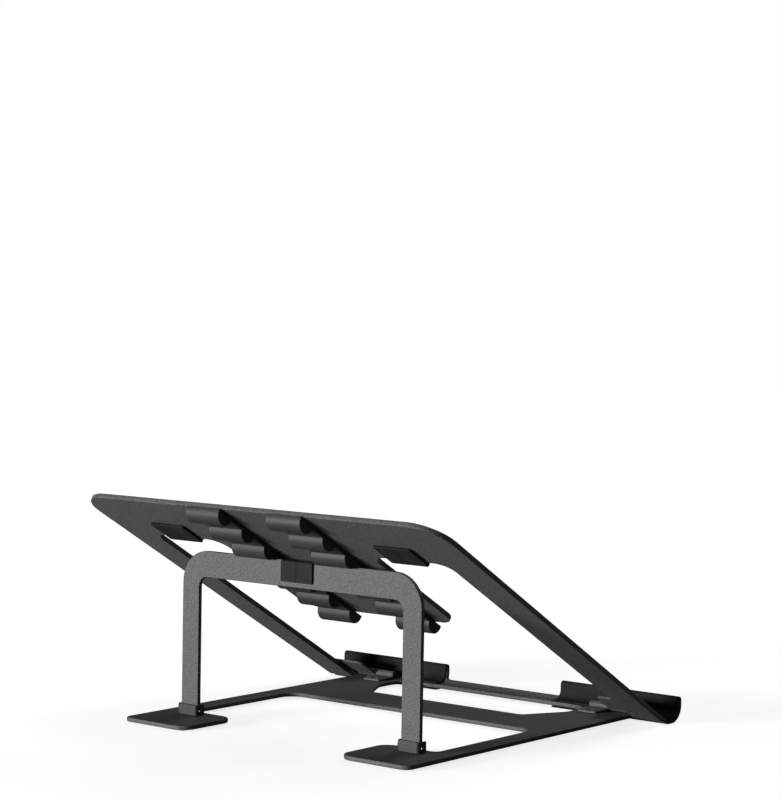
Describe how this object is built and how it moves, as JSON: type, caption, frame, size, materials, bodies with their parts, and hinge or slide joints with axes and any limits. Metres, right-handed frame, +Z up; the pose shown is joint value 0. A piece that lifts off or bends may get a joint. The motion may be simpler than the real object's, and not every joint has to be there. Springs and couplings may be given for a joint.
{
  "type": "laptop stand",
  "caption": "Folding laptop stand: flat base, tilting open tray held up by a U-shaped prop bracket seated in notched racks, with soft stops at the front.",
  "frame": {"origin": "middle of the bottom of the bounding box, on the surface the stand stands on", "axes": "+X to the user's right, +Y away from the user towards the raised edge of the tray, +Z up"},
  "size_m": [0.2616, 0.2486, 0.1335],
  "materials": {
    "powder_coat": "fine sand-textured matt black powder coat on sheet steel",
    "silicone": "soft matt black silicone",
    "rack_plastic": "smooth satin black moulded plastic",
    "steel": "blackened steel pins and screws"
  },
  "bodies": {
    "base": {"base_plate": "powder_coat", "front_stop_sleeve_left": "silicone", "bracket_clip_left": "rack_plastic", "bracket_pin_left": "steel", "base_hinge_leaf_left": "powder_coat", "hinge_pin_left": "steel", "rear_foot_pad_left": "silicone", "front_foot_pad_left": "silicone", "base_leaf_rivet_left_1": "powder_coat", "base_leaf_rivet_left_2": "powder_coat", "front_stop_sleeve_right": "silicone", "bracket_clip_right": "rack_plastic", "bracket_pin_right": "steel", "base_hinge_leaf_right": "powder_coat", "hinge_pin_right": "steel", "rear_foot_pad_right": "silicone", "front_foot_pad_right": "silicone", "base_leaf_rivet_right_1": "powder_coat", "base_leaf_rivet_right_2": "powder_coat"},
    "tray": {"tray_plate": "powder_coat", "notch_rack_left": "rack_plastic", "clip_pad_left": "silicone", "tray_hinge_leaf_left": "powder_coat", "rack_screw_left_1": "steel", "rack_screw_left_2": "steel", "tray_leaf_rivet_left_1": "powder_coat", "tray_leaf_rivet_left_2": "powder_coat", "notch_rack_right": "rack_plastic", "clip_pad_right": "silicone", "tray_hinge_leaf_right": "powder_coat", "rack_screw_right_1": "steel", "rack_screw_right_2": "steel", "tray_leaf_rivet_right_1": "powder_coat", "tray_leaf_rivet_right_2": "powder_coat"},
    "bracket": {"support_bracket": "powder_coat", "bar_saddle": "silicone"}
  },
  "joints": [
    {"name": "tray_hinge", "type": "hinge", "parent": "base", "child": "tray", "pos_m": [0, -0.10714, 0.0062], "axis": [1, 0, 0], "range_deg": [0, 60]},
    {"name": "bracket_fold", "type": "hinge", "parent": "base", "child": "bracket", "pos_m": [0, 0.07534, 0.0064], "axis": [1, 0, 0], "range_deg": [0, 90]}
  ],
  "couplings": [
    {"joint": "bracket_fold", "follows": "tray_hinge", "ratio": 1.5}
  ]
}
